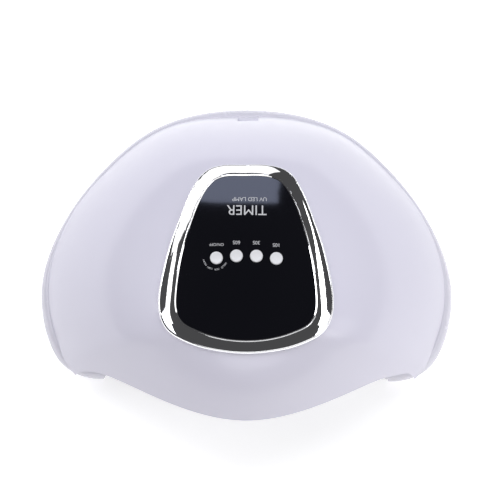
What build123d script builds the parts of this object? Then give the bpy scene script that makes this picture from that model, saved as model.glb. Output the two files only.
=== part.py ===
"""Domed UV curing lamp: shell, plinth, control panel, reflector, lamp boards and a loose floor plate.

Millimetres. +Z is up, +Y points to the rear (the power inlet), -Y to the hand opening, +X to the right
when looking along +Y. The origin is at the centre of the footprint, on the surface the lamp stands on.
"""
from build123d import *
import math
import os

# Driving dimensions -------------------------------------------------------------------------------
PANEL_Z = 95.0            # plane in which the shell stops and the control panel begins
PARTING_Z = 18.0          # joint between the plinth and the shell
SEAM_GAP = 0.25           # shadow gap left at that joint
PLINTH_WIDEST_Z = 8.0     # height at which the plinth is widest
DOME_H = 105.0            # virtual height of the dome's profile curve
DOME_RISE = 1.25          # exponents of that curve
DOME_SPREAD = 2.2
DOME_EYE = -15.0          # y of the dome's middle
SHELL_WALL = 2.3
SHELL_ROOF = 1.8

VISOR_H = 58.0            # arch that trims the visor's edge
VISOR_HALF = 105.1
VISOR_POWER = 3.5         # squareness of that arch: 2 is an ellipse
CAVITY_H = 52.0           # arch of the hand cavity, inside the reflector
CAVITY_HALF = 84.0
CAVITY_POWER = 3.0
CAVITY_EYE = -10.0        # where the straight tunnel turns into its rounded rear end
CAVITY_REAR = 80.0        # reach of that end behind CAVITY_EYE, outside the reflector
REFLECTOR_WALL = 1.8
FLANGE = 5.8              # foot flange of the reflector
FLANGE_T = 1.6
FIT_GAP = 0.3

HOUSING_BOTTOM = 1.6
FLOOR_TOP = 4.0
HOUSING_WALL = 2.5
FASCIA_FRONT = -62.0
FASCIA_WALL = 2.4

JACK_Z = 34.2             # power inlet, set back behind the rear notch
JACK_HALF = 5.6
JACK_BACK = 70.6
JACK_FRONT = 82.0
JACK_BARREL_R = 2.85
JACK_BARREL_DEEP = 9.5
JACK_PIN_R = 1.0
JACK_WALL = 1.4           # wall of the pocket that holds the inlet
LEAD_EXIT_Z = 36.2        # where the power lead leaves the inlet
NOTCH_HALF = 6.3
NOTCH_LOW = 27.6
NOTCH_TOP = 41.0

BUTTON_D = 7.3
BUTTON_PROUD = 0.9
BUTTON_TRAVEL = 0.8
BUTTON_DISH = 0.3         # depth of the hollow in a button's top
BUTTON_SPOTS = {
    "button_on_off": (-17.1, -12.0),
    "button_60s": (-5.7, -10.7),
    "button_30s": (5.7, -10.7),
    "button_10s": (17.1, -12.0),
}

# Outlines, right half, from the rear centre line round to the front centre line. Points with the same
# index in each list lie on one meridian of the dome.
PANEL_EDGE = [
    (0, 42.9), (13.2, 42.6), (23.4, 39.3), (31.7, 28.8), (38.8, 11.3), (44.5, -5.3), (48.3, -21.5),
    (50.3, -36), (49.3, -46), (44.9, -54.4), (36.6, -60), (26, -64.1), (14, -66.6), (0, -67.7),
]
GLASS_EDGE = [
    (0, 36.6), (10, 36.5), (18, 34.2), (24.2, 27), (31, 11), (35.6, -5.5), (38.4, -20), (39.8, -34),
    (39.1, -43.3), (35.9, -49), (29.3, -53), (20.5, -56.3), (11, -58.4), (0, -59.2),
]
DOME_BASE = [
    (0, 97.5), (31.5, 95.5), (58.4, 86.9), (88.8, 62.8), (110.5, 36.6), (122.5, 10.3), (126.4, -12.2),
    (123.8, -33.9), (117.7, -52.2), (112.2, -63.9), (104.4, -72.7), (89.5, -87.1), (56.6, -108.9),
    (0, -122.9),
]
# Right half of the plinth, from the rear centre line to the tip of the front leg.
PLINTH_TOP = [
    (0, 93), (30, 91), (55.5, 82.8), (84, 60), (104.5, 34.5), (116, 9), (119.8, -13), (117.6, -34),
    (111.5, -51.5), (105, -58.6), (98.5, -62.4), (87.5, -64.6),
]
PLINTH_WIDE = [
    (0, 99.2), (30.7, 96), (56.8, 86.6), (86.3, 62.4), (106.7, 35.8), (119.8, 9), (124.6, -14),
    (123.4, -31), (118.4, -48.5), (110.6, -60.5), (101.5, -66.3), (87.5, -68.9),
]

MIRROR = Plane.YZ
parts = {}


def part(name, shape):
    """Keep a finished piece under its node name."""
    parts[name] = shape


def both_sides(shape):
    """The shape and its mirror image across the centre plane."""
    return Compound(children=[*shape.solids(), *mirror(shape, MIRROR).solids()])


def group(shapes):
    """Separate solids that share one node."""
    return Compound(children=[solid for shape in shapes for solid in shape.solids()])


def rod(radius, z_low, z_high, x=0.0, y=0.0):
    return Pos(x, y, (z_low + z_high) / 2) * Cylinder(radius, z_high - z_low)


def block(x_low, x_high, y_low, y_high, z_low, z_high):
    size = (x_high - x_low, y_high - y_low, z_high - z_low)
    middle = ((x_low + x_high) / 2, (y_low + y_high) / 2, (z_low + z_high) / 2)
    return Pos(*middle) * Box(*size)


# Outline helpers ----------------------------------------------------------------------------------
def chord_parameters(points, closed):
    """Spline parameters by distance, so that every level of a loft shares one set of knots."""
    ends = points[1:] + points[:1] if closed else points[1:]
    values = [0.0]
    for start, end in zip(points, ends):
        values.append(values[-1] + math.dist(start, end))
    return [value / values[-1] for value in values]


def blend(outer, inner, share):
    """Outline that lies a share of the way from the outer outline to the inner one."""
    return [
        (a[0] + (b[0] - a[0]) * share, a[1] + (b[1] - a[1]) * share) for a, b in zip(outer, inner)
    ]


def inset(outline, amount, eye=DOME_EYE):
    """Outline drawn in towards the dome's middle."""
    moved = []
    for x, y in outline:
        reach = math.hypot(x, y - eye)
        moved.append((x - amount * x / reach, y - amount * (y - eye) / reach))
    return moved


def closed_face(half, z):
    """Flat face inside a closed outline, given as its right half."""
    left = [(-x, y) for x, y in half[1:-1]]
    ring = half + left[::-1]
    edge = Edge.make_spline(
        [(x, y, z) for x, y in ring], periodic=True, parameters=chord_parameters(ring, True)
    )
    return Face(Wire([edge]))


def open_face(half, z):
    """Flat face inside a plinth outline, closed by a straight line between its front ends."""
    ring = [(-x, y) for x, y in half[:0:-1]] + half
    edge = Edge.make_spline([(x, y, z) for x, y in ring], parameters=chord_parameters(ring, False))
    across = Edge.make_line(edge @ 1, edge @ 0)
    return Face(Wire([edge, across]))


def prism(half, z_low, z_high):
    return extrude(closed_face(half, z_low), amount=z_high - z_low, dir=(0, 0, 1))


# Dome ---------------------------------------------------------------------------------------------
def dome_share(z):
    """1 at the floor and 0 at the panel plane, following the profile curve."""
    spread = (1 - (z / DOME_H) ** DOME_RISE) ** (1 / DOME_SPREAD)
    top = (1 - (PANEL_Z / DOME_H) ** DOME_RISE) ** (1 / DOME_SPREAD)
    return (spread - top) / (1 - top)


def dome(z_from, wall, roof):
    """Solid dome, drawn in by a wall at its foot and lowered by a roof at its top."""
    base = inset(DOME_BASE, wall)
    top = inset(PANEL_EDGE, wall * 0.5)
    steps = 10
    levels = [z_from + (PANEL_Z - z_from) * math.sin(math.pi / 2 * i / steps) for i in range(steps + 1)]
    sections = []
    for z in levels:
        height = z - roof * (z - z_from) / (PANEL_Z - z_from)
        sections.append(closed_face(blend(top, base, dome_share(z)), height))
    return loft(sections)


# Arches -------------------------------------------------------------------------------------------
def arch_face(half_width, height, y, power=CAVITY_POWER):
    """Upright face under an arch, in the plane at this y."""
    steps = 7
    right = []
    for i in range(steps + 1):
        angle = math.pi / 2 * i / steps
        right.append((half_width * math.sin(angle) ** (2 / power), height * math.cos(angle)))
    points = [(-x, y, z) for x, z in right[:0:-1]] + [(x, y, z) for x, z in right]
    curve = Edge.make_spline(points, tangents=[(0, 0, 1), (0, 0, -1)])
    return Face(Wire([curve, Edge.make_line(curve @ 1, curve @ 0)]))


def arch_prism(face, y_front, y_rear):
    """Level prism from an arch face at y_front to y_rear."""
    return extrude(face, amount=y_rear - y_front, dir=(0, 1, 0))


def tunnel(half_width, height, reach, y_front):
    """Straight arched tunnel whose rear end is the same arch turned half round."""
    straight = arch_prism(arch_face(half_width, height, y_front), y_front, CAVITY_EYE)
    arch = arch_face(half_width, height, 0)
    half = arch & block(0, half_width + 1, -1, 1, -1, height + 1)
    turned = revolve(half, Axis.Z, 180)
    rear = Pos(0, CAVITY_EYE, 0) * scale(turned, by=(1, reach / half_width, 1))
    return straight + rear


def footprint(half_width, reach, y_front, z_low, z_high):
    """Upright block with a tunnel's plan: straight sides and a half-elliptic rear."""
    straight = block(-half_width, half_width, y_front, CAVITY_EYE, z_low, z_high)
    disc = Pos(0, CAVITY_EYE, 0) * extrude(Ellipse(half_width, reach), amount=z_high - z_low)
    rear = Pos(0, 0, z_low) * disc
    return straight + (rear & block(-half_width, half_width, CAVITY_EYE, reach, z_low, z_high))


CAVITY_OUT = CAVITY_HALF + REFLECTOR_WALL
CAVITY_ROOF = CAVITY_H + REFLECTOR_WALL


# Fastener and boss places -------------------------------------------------------------------------
SHELL_BOSSES = [(100, -28), (60, 63)]
REFLECTOR_SCREWS = [(89.2, -48), (52, 57.3)]
MAGNET_SPOTS = [(90.6, -16), (72, 41.5)]
MAGNET_R = 3.5
MAGNET_T = 1.6
FOOT_SPOTS = [(106, -46), (38, 82)]
SCREW_R = 1.45
SCREW_HOLE_R = 1.5
BOSS_FOOT_Z = 8.0


def make_shell():
    outer = dome(PARTING_Z + SEAM_GAP, 0, 0)
    inner = dome(PARTING_Z - 1.0, SHELL_WALL, SHELL_ROOF)
    shell = outer - inner
    shell -= prism(blend(PANEL_EDGE, GLASS_EDGE, 0.45), PANEL_Z - 5, PANEL_Z + 5)
    shell -= arch_prism(arch_face(VISOR_HALF, VISOR_H, -130, VISOR_POWER), -130, -40)
    shell -= block(-NOTCH_HALF, NOTCH_HALF, JACK_FRONT - 4, 110, NOTCH_LOW, NOTCH_TOP)
    hollow = dome(PARTING_Z - 1.0, SHELL_WALL / 2, SHELL_ROOF / 2)
    for x, y in SHELL_BOSSES:
        boss = (rod(4, PARTING_Z, 90, x, y) & hollow) + rod(4, BOSS_FOOT_Z, PARTING_Z, x, y)
        boss -= rod(SCREW_HOLE_R, BOSS_FOOT_Z - 1, BOSS_FOOT_Z + 15, x, y)
        shell = shell + boss + mirror(boss, MIRROR)
    part("upper_shell", shell)


def plinth_block():
    """Rounded plinth body, widest part-way up, with its two front legs."""
    rise = PARTING_Z - PLINTH_WIDEST_Z
    drop = PLINTH_WIDEST_Z - HOUSING_BOTTOM
    sections = [open_face(blend(PLINTH_WIDE, PLINTH_TOP, 0.62), HOUSING_BOTTOM)]
    for angle in (60, 30):
        sink = math.radians(angle)
        z = PLINTH_WIDEST_Z - drop * math.sin(sink)
        sections.append(open_face(blend(PLINTH_WIDE, PLINTH_TOP, 0.62 * (1 - math.cos(sink))), z))
    sections.append(open_face(PLINTH_WIDE, PLINTH_WIDEST_Z))
    for angle in (25, 50, 70, 90):
        lift = math.radians(angle)
        z = PLINTH_WIDEST_Z + rise * math.sin(lift)
        sections.append(open_face(blend(PLINTH_WIDE, PLINTH_TOP, 1 - math.cos(lift)), z))
    return loft(sections)


def make_lower_housing():
    body = plinth_block()
    well = inset(PLINTH_TOP, HOUSING_WALL)
    room = extrude(open_face(well, FLOOR_TOP), amount=PARTING_Z, dir=(0, 0, 1))
    room &= block(-130, 130, FASCIA_FRONT + FASCIA_WALL, 110, FLOOR_TOP, PARTING_Z + 5)
    body -= room
    under_dome = dome(PARTING_Z - 1.0, SHELL_WALL + FIT_GAP, SHELL_ROOF + FIT_GAP)
    slab = block(-116, 116, FASCIA_FRONT, FASCIA_FRONT + FASCIA_WALL, PARTING_Z - 1, 90)
    body += slab & under_dome
    body -= tunnel(CAVITY_OUT + FIT_GAP, CAVITY_ROOF + FIT_GAP, CAVITY_REAR + FIT_GAP, -80)
    for x, y in SHELL_BOSSES:
        pad = rod(6, FLOOR_TOP - 1, BOSS_FOOT_Z, x, y)
        body = body + pad + mirror(pad, MIRROR)
    holes = []
    for x, y in SHELL_BOSSES:
        holes.append(rod(SCREW_HOLE_R + 0.2, 0, 20, x, y))
        holes.append(rod(3.2, 0, 4.6, x, y))
    for x, y in REFLECTOR_SCREWS:
        holes.append(rod(1.25, HOUSING_BOTTOM + 0.6, 10, x, y))
    for x, y in MAGNET_SPOTS:
        holes.append(rod(MAGNET_R, 0, HOUSING_BOTTOM + MAGNET_T, x, y))
    for hole in holes:
        body = body - hole - mirror(hole, MIRROR)
    body += jack_pocket(under_dome)
    part("lower_housing", body)


def jack_pocket(under_dome):
    """Pillar from the floor with a pocket on top, open to the rear, that holds the power inlet."""
    reach = JACK_HALF + JACK_WALL
    low, high = JACK_Z - reach, JACK_Z + reach
    pocket = block(-reach - 1, reach + 1, JACK_BACK - JACK_WALL, 110, low, high) & under_dome
    pocket += block(-reach - 1, reach + 1, 76.5, 85.3, FLOOR_TOP - 1, low + 1)
    pocket -= block(-JACK_HALF, JACK_HALF, JACK_BACK, 110, JACK_Z - JACK_HALF, JACK_Z + JACK_HALF)
    return pocket - along_y(2.0, JACK_BACK - 10, JACK_BACK + 1, 0, LEAD_EXIT_Z)


def along_y(radius, y_low, y_high, x, z):
    """Round bar along the Y axis."""
    return Pos(x, (y_low + y_high) / 2, z) * Rot(90, 0, 0) * Cylinder(radius, y_high - y_low)


def make_dc_jack():
    half = JACK_HALF - 0.1
    barrel_end = JACK_FRONT - JACK_BARREL_DEEP
    body = block(-half, half, JACK_BACK + 0.1, JACK_FRONT, JACK_Z - half, JACK_Z + half)
    body -= along_y(JACK_BARREL_R, barrel_end, JACK_FRONT + 5, 0, JACK_Z)
    part("dc_jack_body", body)
    part("dc_jack_pin", along_y(JACK_PIN_R, barrel_end, JACK_FRONT - 0.6, 0, JACK_Z))


def make_reflector():
    outer = tunnel(CAVITY_OUT, CAVITY_ROOF, CAVITY_REAR, FASCIA_FRONT - 0.6)
    inner = tunnel(CAVITY_HALF, CAVITY_H, CAVITY_REAR - REFLECTOR_WALL, FASCIA_FRONT - 5)
    skirt = footprint(130, 130, -100, -1, 2.8)
    liner = outer - inner - skirt
    flange = footprint(
        CAVITY_OUT + FLANGE, CAVITY_REAR + FLANGE, FASCIA_FRONT + 4, FLOOR_TOP, FLOOR_TOP + FLANGE_T
    )
    liner += flange - tunnel(CAVITY_OUT - 0.5, CAVITY_ROOF, CAVITY_REAR - 0.5, -80)
    for x, y in REFLECTOR_SCREWS:
        hole = rod(1.35, 0, 10, x, y)
        liner = liner - hole - mirror(hole, MIRROR)
    for hole in lamp_holes():
        liner -= hole
    part("inner_reflector", liner)


# Lamp boards and lamps ----------------------------------------------------------------------------
LAMP_R = 2.5
LAMP_HOLE_R = 3.2
BOARD_T = 1.6
CEILING_BOARD_Z = CAVITY_ROOF + 2.2
CEILING_LAMPS = [(x, y) for y in (-38, -20, -2, 16) for x in (-24, 0, 24)]
SENSOR_SPOTS = [(-6, -51), (6, -51)]
SIDE_LAMPS = [-42, -26, -10, 6]
REAR_LAMPS = [-18, 0, 18]
SIDE_Z = 24.0


def arch_half_width(half_width, height, z):
    return half_width * (1 - (z / height) ** 2) ** (1 / CAVITY_POWER)


def wall_frame(half_width):
    """Point and lean of the reflector's outer side at SIDE_Z, as distance out and degrees."""
    out = arch_half_width(half_width, CAVITY_ROOF, SIDE_Z)
    above = arch_half_width(half_width, CAVITY_ROOF, SIDE_Z + 2)
    below = arch_half_width(half_width, CAVITY_ROOF, SIDE_Z - 2)
    return out, math.degrees(math.atan((below - above) / 4))


SIDE_OUT, SIDE_LEAN = wall_frame(CAVITY_OUT)
# A side board's own frame: its X axis points away from the cavity, square to the reflector's wall.
SIDE_PLACE = Pos(SIDE_OUT, 0, SIDE_Z) * Rot(0, -SIDE_LEAN, 0)
REAR_OUT, REAR_LEAN = wall_frame(CAVITY_REAR)
REAR_PLACE = Pos(0, CAVITY_EYE + REAR_OUT, SIDE_Z) * Rot(0, 0, 90) * Rot(0, -REAR_LEAN, 0)
BOARD_STANDOFF = 3.4


def across_bar(radius, low, high, y):
    """Round bar along the local X axis of a wall frame."""
    return Pos((low + high) / 2, y, 0) * Rot(0, 90, 0) * Cylinder(radius, high - low)


def lamp_holes():
    holes = [rod(LAMP_HOLE_R, CAVITY_H - 8, CAVITY_ROOF + 1, x, y) for x, y in CEILING_LAMPS]
    holes += [rod(2.8, CAVITY_H - 8, CAVITY_ROOF + 1, x, y) for x, y in SENSOR_SPOTS]
    for y in SIDE_LAMPS:
        hole = SIDE_PLACE * across_bar(LAMP_HOLE_R, -6, 4, y)
        holes += [hole, mirror(hole, MIRROR)]
    for x in REAR_LAMPS:
        holes.append(REAR_PLACE * across_bar(LAMP_HOLE_R, -8, 4, x))
    return holes


def lamp(reach):
    """A lamp bead on its board: square base, round body and domed lens, pointing down local -Z."""
    base = Pos(0, 0, -0.4) * Box(6, 6, 0.8)
    body = Pos(0, 0, -reach / 2) * Cylinder(LAMP_R, reach)
    lens = Pos(0, 0, -reach) * (Sphere(LAMP_R) & Pos(0, 0, -LAMP_R) * Box(6, 6, 2 * LAMP_R))
    return base + body + lens


def make_lamp_boards():
    board = block(-34, 34, -56, 26, CEILING_BOARD_Z, CEILING_BOARD_Z + BOARD_T)
    part("led_board_ceiling", fillet(board.edges().filter_by(Axis.Z), 5))
    reach = CEILING_BOARD_Z - CAVITY_ROOF + 0.4
    part("ceiling_leds", group([Pos(x, y, CEILING_BOARD_Z) * lamp(reach) for x, y in CEILING_LAMPS]))
    sensors = []
    for x, y in SENSOR_SPOTS:
        head = Pos(x, y, CAVITY_H + 1.5) * Sphere(2.2)
        sensors.append(rod(2.2, CAVITY_H + 1.5, CEILING_BOARD_Z, x, y) + head)
    part("hand_sensor", group(sensors))

    plate = Pos(BOARD_STANDOFF + BOARD_T / 2, -18, 0) * Box(BOARD_T, 64, 17)
    beads = []
    for y in SIDE_LAMPS:
        bead = Pos(BOARD_STANDOFF, y, 0) * Rot(0, 90, 0) * lamp(BOARD_STANDOFF - 1.2)
        beads.append(SIDE_PLACE * bead)
    right_board = SIDE_PLACE * plate
    part("led_board_right", right_board)
    part("led_board_left", mirror(right_board, MIRROR))
    part("right_leds", group(beads))
    part("left_leds", group([mirror(bead, MIRROR) for bead in beads]))

    plate = Pos(BOARD_STANDOFF + BOARD_T / 2, 0, 0) * Box(BOARD_T, 54, 15)
    part("led_board_rear", REAR_PLACE * plate)
    beads = []
    for x in REAR_LAMPS:
        bead = Pos(BOARD_STANDOFF, x, 0) * Rot(0, 90, 0) * lamp(BOARD_STANDOFF - 1.2)
        beads.append(REAR_PLACE * bead)
    part("rear_leds", group(beads))


# Control panel ------------------------------------------------------------------------------------
CARRIER_TOP = PANEL_Z - SHELL_ROOF - 0.1
CARRIER_LOW = CARRIER_TOP - 2.1
BOARD_TOP = 85.6
CREST = 2.8               # height of the bezel's crest above the panel plane
CREST_SHARE = 0.14        # places across the bezel, as shares of its width from its outer edge
CREST_FLAT = 0.02
GROOVE_SHARE = 0.91
GROOVE_DROP = 0.75        # depth of the groove round the glass below the panel plane
BEVEL_START = 0.5         # slope at the crest, as a share of the bevel's mean slope
LIP = [(0.925, -0.8), (0.935, -0.47)]         # small lip beside the glass, sloping towards it
LIP_INSIDE = [(1.0, -0.8), (0.935, -0.47)]
GLASS_CROWN = 900.0       # radius of the glass's slightly domed top
GLASS_TOP = PANEL_Z + 0.1
DISPLAY = (-15, 15, -44, -30)


def stack(outer, inner, levels, smooth=False):
    """Solid through outlines blended between two outlines, each at a height above the panel plane."""
    faces = [closed_face(blend(outer, inner, share), PANEL_Z + height) for share, height in levels]
    return loft(faces, ruled=not smooth)


def crest_levels():
    """Rounded outer lip, from the shell's edge up to the crest."""
    levels = []
    for step in range(6):
        angle = math.radians(18 * step)
        levels.append((CREST_SHARE * (1 - math.cos(angle)), CREST * math.sin(angle)))
    return levels


def bevel_levels():
    """Slope from the groove beside the glass up to the crest, steepest beside the glass."""
    start = CREST_SHARE + CREST_FLAT
    levels = []
    for step in range(6):
        across = 1 - step / 5
        down = BEVEL_START * across + (1 - BEVEL_START) * across**2
        levels.append((start + (GROOVE_SHARE - start) * across, CREST - (CREST + GROOVE_DROP) * down))
    return levels


def make_bezel():
    rim = inset(PANEL_EDGE, 0.15)
    bezel = stack(rim, GLASS_EDGE, crest_levels(), smooth=True)
    bezel += prism(blend(rim, GLASS_EDGE, 0.52), CARRIER_TOP + 0.05, PANEL_Z + 0.5)
    bezel -= stack(rim, GLASS_EDGE, bevel_levels(), smooth=True)
    bezel += stack(rim, GLASS_EDGE, LIP)
    bezel -= stack(rim, GLASS_EDGE, LIP_INSIDE)
    bezel -= prism(GLASS_EDGE, CARRIER_TOP - 1, PANEL_Z)
    for x, y in PANEL_SCREWS:
        hole = rod(0.85, CARRIER_TOP - 1, PANEL_Z - 0.2, x, y)
        bezel = bezel - hole - mirror(hole, MIRROR)
    part("chrome_bezel", bezel)


def make_window():
    glass = prism(inset(GLASS_EDGE, 0.15), CARRIER_TOP + 0.05, PANEL_Z + 3)
    glass &= Pos(0, -12, GLASS_TOP - GLASS_CROWN) * Sphere(GLASS_CROWN)
    for x, y in BUTTON_SPOTS.values():
        glass -= rod(BUTTON_D / 2 + 0.3, 80, 110, x, y)
    part("display_window", glass)


def make_buttons():
    """Dished cap above the glass, stem through the carrier and a flange that keeps it in."""
    top = GLASS_TOP + BUTTON_PROUD
    dish_half = BUTTON_D / 2 - 0.8
    dish_r = (dish_half**2 + BUTTON_DISH**2) / (2 * BUTTON_DISH)
    for name, (x, y) in BUTTON_SPOTS.items():
        cap = rod(BUTTON_D / 2, CARRIER_TOP + BUTTON_TRAVEL + 0.25, top, x, y)
        cap = fillet(cap.edges().group_by(Axis.Z)[-1], 0.5)
        cap -= Pos(x, y, top - BUTTON_DISH + dish_r) * Sphere(dish_r)
        stem = rod(2.1, CARRIER_LOW - 1.0, top - 1, x, y)
        flange = rod(3.2, CARRIER_LOW - 1.0, CARRIER_LOW - 0.3, x, y)
        part(name, cap + stem + flange)


BOARD_POSTS = [(24, 17), (31, -42)]
PANEL_SCREWS = [(25.8, 27.4), (42.5, -39)]


def make_carrier():
    carrier = prism(blend(PANEL_EDGE, GLASS_EDGE, 0.24), CARRIER_LOW, CARRIER_TOP)
    for x, y in BOARD_POSTS:
        post = rod(2.6, BOARD_TOP, CARRIER_LOW + 0.5, x, y)
        carrier = carrier + post + mirror(post, MIRROR)
        hole = rod(0.9, BOARD_TOP - 1, BOARD_TOP + 4.6, x, y)
        carrier = carrier - hole - mirror(hole, MIRROR)
    for x, y in BUTTON_SPOTS.values():
        carrier -= rod(2.35, 80, 100, x, y)
    x_low, x_high, y_low, y_high = DISPLAY
    carrier -= block(x_low - 0.4, x_high + 0.4, y_low - 0.4, y_high + 0.4, 80, 100)
    for x, y in PANEL_SCREWS:
        hole = rod(1.0, 80, 100, x, y)
        carrier = carrier - hole - mirror(hole, MIRROR)
    part("panel_carrier", carrier)


def screw(head_r, head_t, shank_r, shank_len):
    """Pan-head screw, standing on its head, with a crossed recess underneath."""
    shape = rod(head_r, 0, head_t) + rod(shank_r, head_t, head_t + shank_len)
    shape = fillet(shape.edges().group_by(Axis.Z)[0], head_t * 0.3)
    slot = Box(head_r * 1.2, head_r * 0.28, head_t)
    return shape - slot - Rot(0, 0, 90) * slot


def make_electronics():
    low = BOARD_TOP - BOARD_T
    board = block(-35, 35, -48, 22, low, BOARD_TOP)
    board = fillet(board.edges().filter_by(Axis.Z), 4)
    for x, y in BOARD_POSTS:
        hole = rod(1.1, low - 1, BOARD_TOP + 1, x, y)
        board = board - hole - mirror(hole, MIRROR)
    part("control_board", board)

    keys = []
    for x, y in BUTTON_SPOTS.values():
        can = Pos(x, y, BOARD_TOP + 1.2) * Box(6, 6, 2.4)
        keys.append(can + rod(1.7, BOARD_TOP + 2, CARRIER_LOW - 1.0 - BUTTON_TRAVEL - 0.2, x, y))
    part("tact_switches", group(keys))

    x_low, x_high, y_low, y_high = DISPLAY
    part("digit_display", block(x_low, x_high, y_low, y_high, BOARD_TOP, CARRIER_TOP - 0.4))

    pieces = [rod(4, low - 11, low, -26, -6), rod(4, low - 11, low, -26, 6)]
    pieces.append(rod(6, low - 7, low, -4, 10) - rod(2.6, low - 8, low + 1, -4, 10))
    pieces.append(block(-6, 6, -22, -12, low - 2, low))
    pieces.append(block(10, 18, -18, -11, low - 1.8, low))
    pieces.append(block(-20, -8, -40, -34, low - 8, low))
    pieces.append(block(8, 20, -40, -34, low - 8, low))
    pieces.append(block(22, 30, -4, 6, low - 2.4, low))
    part("board_components", group(pieces))

    fixing = Pos(0, 0, low - 1.3) * screw(1.9, 1.3, 0.9, 5.8)
    part("board_screws", both_sides(group([Pos(x, y, 0) * fixing for x, y in BOARD_POSTS])))
    fixing = Pos(0, 0, CARRIER_LOW - 1.2) * screw(1.7, 1.2, 0.85, 3.6)
    part("panel_screws", both_sides(group([Pos(x, y, 0) * fixing for x, y in PANEL_SCREWS])))


# Leads --------------------------------------------------------------------------------------------
POWER_LEAD_R = 1.5
LAMP_LEAD_R = 1.0
BOARD_OUT = BOARD_STANDOFF + BOARD_T


def spot(place, x, y, z):
    """World point of a point in a lamp board's own frame."""
    return tuple((place * Pos(x, y, z)).position)


def lead(radius, points):
    """Round lead along straight runs joined by arcs as large as the runs allow."""
    radii = []
    for before, corner, after in zip(points, points[1:], points[2:]):
        arriving = Vector(*corner) - Vector(*before)
        leaving = Vector(*after) - Vector(*corner)
        half_turn = math.radians(arriving.get_angle(leaving) / 2)
        radii.append(0.45 * min(arriving.length, leaving.length) / math.tan(half_turn))
    path = FilletPolyline(*points, radius=radii)
    tube = sweep(Plane(origin=path @ 0, z_dir=path % 0) * Circle(radius), path=path)
    print("lead", round(path.length), "mm, volume ratio", end=" ")
    print(round(tube.volume / (math.pi * radius**2 * path.length), 3), [round(r, 1) for r in radii])
    return tube


def make_leads():
    low = BOARD_TOP - BOARD_T
    top = CEILING_BOARD_Z + BOARD_T
    power = [(0, JACK_BACK + 0.1, LEAD_EXIT_Z), (0, 59, LEAD_EXIT_Z), (0, 47, 52), (0, 32, 66)]
    part("power_lead", lead(POWER_LEAD_R, power + [(0, 19, 68), (0, 19, low)]))
    ceiling = [(-14, -27, low), (-14, -27, 77), (-10, -24, 66), (-14, -21, 63), (-14, -21, top)]
    side = [(30, -18, top), (30, -18, top + 6), (48, -16, 62), (66, -15, 57), (82, -16, 47)]
    side += [spot(SIDE_PLACE, BOARD_OUT + 8, -18, 2), spot(SIDE_PLACE, BOARD_OUT, -18, 2)]
    rear = [(16, 20, top), (16, 20, top + 5), (16, 38, 60), (16, 56, 53), (16, 69, 43)]
    rear += [spot(REAR_PLACE, BOARD_OUT + 7, -16, 2), spot(REAR_PLACE, BOARD_OUT, -16, 2)]
    right = lead(LAMP_LEAD_R, side)
    leads = [lead(LAMP_LEAD_R, ceiling), lead(LAMP_LEAD_R, rear), right, mirror(right, MIRROR)]
    part("lamp_leads", group(leads))


# Base ---------------------------------------------------------------------------------------------
TRAY_T = 1.3


def make_base():
    tray = footprint(CAVITY_OUT + 9, CAVITY_REAR + 9, -64, 0, TRAY_T)
    tray += footprint(CAVITY_HALF - 2, CAVITY_REAR - 4, -62, TRAY_T, TRAY_T + 0.9)
    tray = fillet(tray.edges().filter_by(Axis.Z), 4)
    magnets = []
    housing_magnets = []
    for x, y in MAGNET_SPOTS:
        pocket = rod(MAGNET_R, 0.3, 3, x, y)
        tray = tray - pocket - mirror(pocket, MIRROR)
        magnets.append(rod(MAGNET_R, 0.3, TRAY_T, x, y))
        housing_magnets.append(rod(MAGNET_R, HOUSING_BOTTOM, HOUSING_BOTTOM + MAGNET_T, x, y))
    part("base_tray", tray)
    part("tray_magnets", both_sides(group(magnets)))
    part("housing_magnets", both_sides(group(housing_magnets)))

    feet = []
    for x, y in FOOT_SPOTS:
        foot = rod(4.5, 0, HOUSING_BOTTOM, x, y)
        feet.append(fillet(foot.edges().group_by(Axis.Z)[0], 0.5))
    part("rubber_feet", both_sides(group(feet)))

    fixing = Pos(0, 0, 2.4) * screw(2.9, 2.2, SCREW_R, 15.5)
    part("housing_screws", both_sides(group([Pos(x, y, 0) * fixing for x, y in SHELL_BOSSES])))
    head_z = FLOOR_TOP + FLANGE_T
    fixing = Pos(0, 0, head_z + 1.4) * Rot(180, 0, 0) * screw(2.3, 1.4, 1.2, 3.2)
    part("reflector_screws", both_sides(group([Pos(x, y, 0) * fixing for x, y in REFLECTOR_SCREWS])))


make_shell()
make_lower_housing()
make_dc_jack()
make_reflector()
make_lamp_boards()
make_bezel()
make_window()
make_buttons()
make_carrier()
make_electronics()
make_leads()
make_base()

os.makedirs("parts", exist_ok=True)
for node, shape in parts.items():
    solids = shape.solids()
    export_step(solids[0] if len(solids) == 1 else Compound(children=solids), f"parts/{node}.step")
    print(node, len(solids), "solid(s)", round(sum(solid.volume for solid in solids)), "mm3")
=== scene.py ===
"""Looks for the UV curing lamp: materials, printed legends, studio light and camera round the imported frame.

Metres. +Z is up, +Y points to the lamp's rear, -Y to its hand opening.
"""
import math

import bmesh
import bpy
from mathutils import Matrix, Vector


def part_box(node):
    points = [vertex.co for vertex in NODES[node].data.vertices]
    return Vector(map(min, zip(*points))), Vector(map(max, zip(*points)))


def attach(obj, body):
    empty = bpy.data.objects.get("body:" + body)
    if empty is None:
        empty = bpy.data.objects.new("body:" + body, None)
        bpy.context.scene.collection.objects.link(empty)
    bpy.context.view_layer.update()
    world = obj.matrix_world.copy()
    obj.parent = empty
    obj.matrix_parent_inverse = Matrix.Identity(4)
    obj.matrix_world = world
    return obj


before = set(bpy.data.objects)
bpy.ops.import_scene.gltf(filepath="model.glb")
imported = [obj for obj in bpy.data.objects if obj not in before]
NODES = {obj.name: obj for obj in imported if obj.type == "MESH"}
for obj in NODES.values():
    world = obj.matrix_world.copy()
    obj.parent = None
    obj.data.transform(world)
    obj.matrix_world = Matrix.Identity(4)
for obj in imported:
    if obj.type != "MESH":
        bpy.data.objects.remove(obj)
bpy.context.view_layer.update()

MM = 0.001


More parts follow.
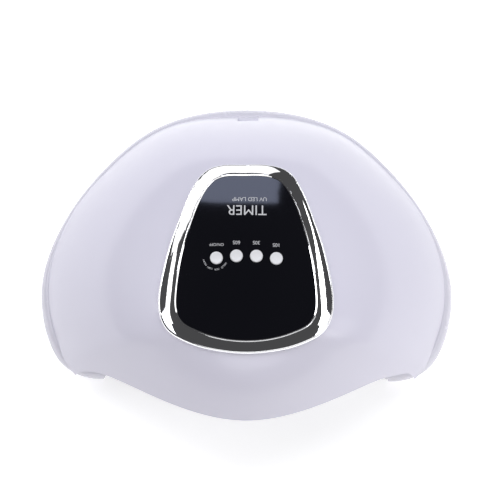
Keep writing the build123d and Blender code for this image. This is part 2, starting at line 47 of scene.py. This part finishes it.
# Material helpers ---------------------------------------------------------------------------------
RAMP_START = 0.3                  # part of the noise range over which a colour drifts
RAMP_END = 0.7
DRIFT_SCALE = 14                  # cells per metre of the colour drift
POLISH_SCALE = 90                 # cells per metre of the uneven polish
POLISH_LEAST = 0.9                # spread of the roughness, as parts of its stated value
POLISH_MOST = 1.12


class Surface:
    """A Principled material with the few helper nodes that its surface detail needs."""

    def __init__(self, name, color, roughness, **sockets):
        self.material = bpy.data.materials.new(name)
        self.material.use_nodes = True
        self.tree = self.material.node_tree
        self.shader = self.tree.nodes["Principled BSDF"]
        self.shader.inputs["Base Color"].default_value = (*color, 1)
        self.shader.inputs["Roughness"].default_value = roughness
        for socket, value in sockets.items():
            self.shader.inputs[socket.replace("_", " ")].default_value = value
        self.coords = self.tree.nodes.new("ShaderNodeTexCoord")

    def node(self, kind, **inputs):
        made = self.tree.nodes.new(kind)
        for socket, value in inputs.items():
            made.inputs[socket.replace("_", " ")].default_value = value
        return made

    def link(self, output, target):
        self.tree.links.new(output, target)

    def noise(self, scale, detail):
        """Noise value in object space; scale is in cells per metre."""
        noise = self.node("ShaderNodeTexNoise", Scale=scale, Detail=detail)
        self.link(self.coords.outputs["Object"], noise.inputs["Vector"])
        return noise.outputs["Fac"]

    def vary_color(self, value, low, high):
        """Base colour that drifts between two colours with a value."""
        ramp = self.node("ShaderNodeValToRGB")
        ramp.color_ramp.elements[0].position = RAMP_START
        ramp.color_ramp.elements[1].position = RAMP_END
        ramp.color_ramp.elements[0].color = (*low, 1)
        ramp.color_ramp.elements[1].color = (*high, 1)
        self.link(value, ramp.inputs["Fac"])
        self.link(ramp.outputs["Color"], self.shader.inputs["Base Color"])

    def vary_roughness(self, value, low, high):
        spread = self.node("ShaderNodeMapRange", To_Min=low, To_Max=high)
        self.link(value, spread.inputs["Value"])
        self.link(spread.outputs["Result"], self.shader.inputs["Roughness"])

    def bump(self, value, height):
        """Relief of the given height in metres."""
        bump = self.node("ShaderNodeBump", Strength=1.0, Distance=height)
        self.link(value, bump.inputs["Height"])
        self.link(bump.outputs["Normal"], self.shader.inputs["Normal"])


def moulded(name, low, high, roughness, grain=9000, relief=0.000003, **sockets):
    """Surface with a slight colour drift, uneven polish and a very fine orange-peel relief."""
    surface = Surface(name, low, roughness, **sockets)
    surface.vary_color(surface.noise(DRIFT_SCALE, 2), low, high)
    surface.vary_roughness(surface.noise(POLISH_SCALE, 4), roughness * POLISH_LEAST, roughness * POLISH_MOST)
    surface.bump(surface.noise(grain, 2), relief)
    return surface.material


# Materials ----------------------------------------------------------------------------------------
SHELL = moulded("shell_plastic", (0.705, 0.686, 0.795), (0.720, 0.702, 0.805), 0.17, 1400, 0.0000010)
PLINTH = moulded("plinth_plastic", (0.690, 0.674, 0.762), (0.705, 0.688, 0.772), 0.26, 1800, 0.0000015)
REFLECTOR = moulded("reflector_plastic", (0.80, 0.80, 0.83), (0.84, 0.84, 0.86), 0.18)
CHROME = moulded(
    "chrome_plate", (0.90, 0.90, 0.915), (0.93, 0.93, 0.94), 0.035, 700, 0.0000008, Metallic=1.0,
)
PANEL = moulded(
    "tinted_acrylic", (0.0035, 0.0035, 0.005), (0.0045, 0.0045, 0.006), 0.045, 500, 0.000001,
    Specular_IOR_Level=0.42, Specular_Tint=(0.70, 0.76, 1.0, 1),
)
BUTTON = moulded("button_plastic", (0.70, 0.70, 0.72), (0.76, 0.76, 0.78), 0.34, 4000)
BLACK = moulded("black_plastic", (0.018, 0.018, 0.02), (0.026, 0.026, 0.028), 0.5, 12000, 0.00001)
LEAD = moulded("lead_insulation", (0.70, 0.70, 0.69), (0.78, 0.78, 0.77), 0.42, 5000, 0.000006)
SOLDER_MASK = moulded("circuit_green", (0.015, 0.11, 0.045), (0.02, 0.15, 0.06), 0.35)
COMPONENT = moulded("component_black", (0.02, 0.02, 0.022), (0.045, 0.045, 0.05), 0.45)
WHITE_BOARD = moulded("board_white", (0.72, 0.72, 0.70), (0.78, 0.78, 0.76), 0.4)
LENS = moulded("lamp_lens", (0.85, 0.72, 0.30), (0.90, 0.80, 0.42), 0.2)
SENSOR = moulded("sensor_lens", (0.02, 0.01, 0.03), (0.03, 0.015, 0.04), 0.12)
STEEL = moulded("zinc_steel", (0.55, 0.55, 0.57), (0.64, 0.64, 0.66), 0.32, 6000, 0.000004, Metallic=1.0)
MAGNET = moulded("magnet_nickel", (0.60, 0.58, 0.54), (0.68, 0.66, 0.62), 0.22, Metallic=1.0)
RUBBER = moulded("rubber", (0.025, 0.025, 0.026), (0.04, 0.04, 0.042), 0.75, 8000, 0.00002)
BRASS = moulded("brass", (0.62, 0.50, 0.26), (0.70, 0.58, 0.32), 0.25, Metallic=1.0)
TRAY = moulded("tray_plastic", (0.72, 0.72, 0.74), (0.76, 0.76, 0.78), 0.3)
INK = moulded("legend_ink", (0.50, 0.50, 0.52), (0.58, 0.58, 0.60), 0.5)

FINISH = {
    SHELL: ["upper_shell"],
    PLINTH: ["lower_housing"],
    REFLECTOR: ["inner_reflector"],
    CHROME: ["chrome_bezel"],
    PANEL: ["display_window", "digit_display"],
    BUTTON: ["button_on_off", "button_60s", "button_30s", "button_10s"],
    BLACK: ["panel_carrier", "dc_jack_body", "power_lead"],
    LEAD: ["lamp_leads"],
    SOLDER_MASK: ["control_board"],
    COMPONENT: ["tact_switches", "board_components"],
    WHITE_BOARD: ["led_board_ceiling", "led_board_left", "led_board_right", "led_board_rear"],
    LENS: ["ceiling_leds", "left_leds", "right_leds", "rear_leds"],
    SENSOR: ["hand_sensor"],
    STEEL: ["housing_screws", "board_screws", "panel_screws", "reflector_screws"],
    MAGNET: ["tray_magnets", "housing_magnets"],
    RUBBER: ["rubber_feet"],
    BRASS: ["dc_jack_pin"],
    TRAY: ["base_tray"],
}


def finish_nodes():
    for material, names in FINISH.items():
        for name in names:
            mesh = NODES[name].data
            mesh.materials.clear()
            mesh.materials.append(material)


# Printed legends ----------------------------------------------------------------------------------
GLASS_CROWN = 0.900               # radius of the panel's slightly domed top
GLASS_APEX_Y = -12 * MM
GLASS_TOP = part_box("display_window")[1].z
LEGEND_THICK = 0.02 * MM
LEGEND_LIFT = 0.02 * MM
READ_FROM_REAR = Matrix.Rotation(math.pi, 4, "Z")

BUTTON_TEXTS = {                  # node: text and letter size
    "button_on_off": ("ON/OFF", 2.3 * MM),
    "button_60s": ("60S", 3.0 * MM),
    "button_30s": ("30S", 3.0 * MM),
    "button_10s": ("10S", 3.0 * MM),
}
BUTTON_TEXT_GAP = 4.3 * MM        # from a cap's rear edge to the middle of its text
TITLES = {                        # legend: text, place and letter size
    "legend_timer": ("TIMER", 0.0, 16.6 * MM, 8.4 * MM),
    "legend_kind": ("UV LED LAMP", 1.5 * MM, 22.9 * MM, 3.3 * MM),
}
HOLD_SHIFT = Vector((-0.6, 0, 0)) * MM
HOLD_RADIUS = 6.6 * MM
HOLD_SIZE = 1.5 * MM
HOLD_FIRST = -62                  # degrees clockwise from the top, as read from the rear
HOLD_LAST = 80


def panel_height(x, y):
    """Height of the domed panel at a place on it."""
    return GLASS_TOP - (x * x + (y - GLASS_APEX_Y) ** 2) / (2 * GLASS_CROWN)


def lettering(text, size):
    """Mesh of thin lettering, centred on its own origin."""
    curve = bpy.data.curves.new("lettering", "FONT")
    curve.body = text
    curve.size = size
    curve.align_x = "CENTER"
    curve.align_y = "CENTER"
    curve.extrude = LEGEND_THICK / 2
    holder = bpy.data.objects.new("lettering", curve)
    mesh = bpy.data.meshes.new_from_object(holder)
    bpy.data.objects.remove(holder)
    return mesh


def print_legend(name, parts):
    """One printed legend from lettering meshes and their places, laid on the domed panel."""
    work = bmesh.new()
    for mesh, place in parts:
        mesh.transform(place)
        work.from_mesh(mesh)
    for vertex in work.verts:
        vertex.co.z += panel_height(vertex.co.x, vertex.co.y) + LEGEND_LIFT
    mesh = bpy.data.meshes.new(name)
    work.to_mesh(mesh)
    work.free()
    mesh.materials.append(INK)
    piece = bpy.data.objects.new(name, mesh)
    bpy.context.scene.collection.objects.link(piece)
    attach(piece, "lamp")


def line_legend(name, text, x, y, size):
    """Straight line of text whose middle is at x, y."""
    print_legend(name, [(lettering(text, size), Matrix.Translation((x, y, 0)) @ READ_FROM_REAR)])


def arc_legend(name, text, middle, radius, size, first, last):
    """Text on an arc, between two angles in degrees clockwise from the top as the reader sees it."""
    centre = Matrix.Translation((middle.x, middle.y, 0)) @ READ_FROM_REAR
    out = Matrix.Translation((0, radius, 0))
    parts = []
    for place, letter in enumerate(text):
        if letter != " ":
            angle = math.radians(first + (last - first) * place / (len(text) - 1))
            parts.append((lettering(letter, size), centre @ Matrix.Rotation(-angle, 4, "Z") @ out))
    print_legend(name, parts)


def add_legends():
    for node, (text, size) in BUTTON_TEXTS.items():
        low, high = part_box(node)
        line_legend("legend_" + node, text, (low.x + high.x) / 2, high.y + BUTTON_TEXT_GAP, size)
    low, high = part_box("button_on_off")
    middle = (low + high) / 2 + HOLD_SHIFT
    arc_legend("legend_hold", "HOLD FOR LOW HEAT", middle, HOLD_RADIUS, HOLD_SIZE, HOLD_FIRST, HOLD_LAST)
    for name, (text, x, y, size) in TITLES.items():
        line_legend(name, text, x, y, size)


# Studio -------------------------------------------------------------------------------------------
FLOOR_REACH = 6.0
FLOOR_GLOW = 0.43                 # own light of the paper, which keeps it white round the shadows
WORLD_TINT = (0.97, 0.97, 1.0, 1)
WORLD_LEVEL = 0.07
SKY_TINT = (0.93, 0.95, 1.0)
OVERHEAD_HEIGHT = 1.5
LAMP_MIDDLE = Vector((0, 0, 50)) * MM

# Level boxes over the rear: x from and to, y from and to, radiance.
OVERHEAD_BOXES = {
    "rear_left_box": ((-1.15, 0.09), (0.46, 1.10), 5.0),
    "rear_right_box": ((0.33, 1.15), (0.46, 1.10), 4.6),
}
# Boxes that face the lamp: azimuth from the rear towards the right, elevation, roll (degrees),
# distance, width and height, radiance.
SOFT_BOXES = {
    "left_box": (-68, 44, -12, 1.45, (1.03, 0.36), 5.0),
    "right_box": (68, 44, 12, 1.45, (1.03, 0.30), 1.9),
    "front_card": (156, 39, 0, 1.6, (2.3, 1.3), 1.2),
    "front_right_card": (112, 36, 0, 1.7, (1.0, 1.3), 1.2),
}

CAMERA_AIM = Vector((1.95, 2.4, 50)) * MM
CAMERA_DISTANCE = 1.3
CAMERA_ELEVATION = math.radians(78)
CAMERA_AZIMUTH = math.radians(0.5)
CAMERA_LENS = 158.2
CAMERA_SENSOR = 36


def direction(azimuth, elevation):
    """Unit vector at an azimuth from the rear towards the right, and an elevation, in radians."""
    level = math.cos(elevation)
    return Vector((math.sin(azimuth) * level, math.cos(azimuth) * level, math.sin(elevation)))


def studio_floor():
    mesh = bpy.data.meshes.new("floor")
    reach = FLOOR_REACH
    corners = [(-reach, -reach, 0), (reach, -reach, 0), (reach, reach, 0), (-reach, reach, 0)]
    mesh.from_pydata(corners, [], [(0, 1, 2, 3)])
    floor = bpy.data.objects.new("floor", mesh)
    bpy.context.scene.collection.objects.link(floor)
    surface = Surface(
        "floor_paper", (0.93, 0.93, 0.93), 0.9, Emission_Color=(1, 1, 1, 1), Emission_Strength=FLOOR_GLOW
    )
    surface.vary_color(surface.noise(2, 2), (0.925, 0.925, 0.925), (0.935, 0.935, 0.935))
    mesh.materials.append(surface.material)


def area_light(name, size, radiance, tint):
    """Rectangular light of a stated brightness, unseen by the camera."""
    data = bpy.data.lights.new(name, "AREA")
    data.shape = "RECTANGLE"
    data.size, data.size_y = size
    data.energy = radiance * math.pi * size[0] * size[1]
    data.color = tint
    light = bpy.data.objects.new(name, data)
    bpy.context.scene.collection.objects.link(light)
    light.visible_camera = False
    return light


def soft_box(name, azimuth, elevation, roll, distance, size, radiance):
    """Soft box that faces the lamp."""
    out = direction(math.radians(azimuth), math.radians(elevation))
    light = area_light(name, size, radiance, (1, 1, 1))
    light.location = out * distance + LAMP_MIDDLE
    facing = (-out).to_track_quat("-Z", "Y").to_matrix().to_4x4()
    light.rotation_euler = (facing @ Matrix.Rotation(math.radians(roll), 4, "Z")).to_euler()


def overhead_box(name, x_span, y_span, radiance):
    """Soft box hung level, facing down, between stated edges."""
    size = (x_span[1] - x_span[0], y_span[1] - y_span[0])
    light = area_light(name, size, radiance, SKY_TINT)
    light.location = (sum(x_span) / 2, sum(y_span) / 2, OVERHEAD_HEIGHT)


def add_studio():
    """Soft boxes behind, beside and in front; the space straight above the lamp stays dark."""
    studio_floor()
    world = bpy.data.worlds.new("studio")
    world.use_nodes = True
    world.node_tree.nodes["Background"].inputs["Color"].default_value = WORLD_TINT
    world.node_tree.nodes["Background"].inputs["Strength"].default_value = WORLD_LEVEL
    bpy.context.scene.world = world
    for name, settings in OVERHEAD_BOXES.items():
        overhead_box(name, *settings)
    for name, settings in SOFT_BOXES.items():
        soft_box(name, *settings)


def add_camera():
    """Camera above the front edge, looking down at the control panel."""
    back = direction(math.pi - CAMERA_AZIMUTH, CAMERA_ELEVATION)
    data = bpy.data.cameras.new("camera")
    data.lens = CAMERA_LENS
    data.sensor_width = CAMERA_SENSOR
    camera = bpy.data.objects.new("camera", data)
    bpy.context.scene.collection.objects.link(camera)
    camera.location = CAMERA_AIM + back * CAMERA_DISTANCE
    camera.rotation_euler = (-back).to_track_quat("-Z", "Y").to_euler()
    bpy.context.scene.camera = camera


finish_nodes()
add_legends()
add_studio()
add_camera()
bpy.context.scene.view_settings.view_transform = "Standard"
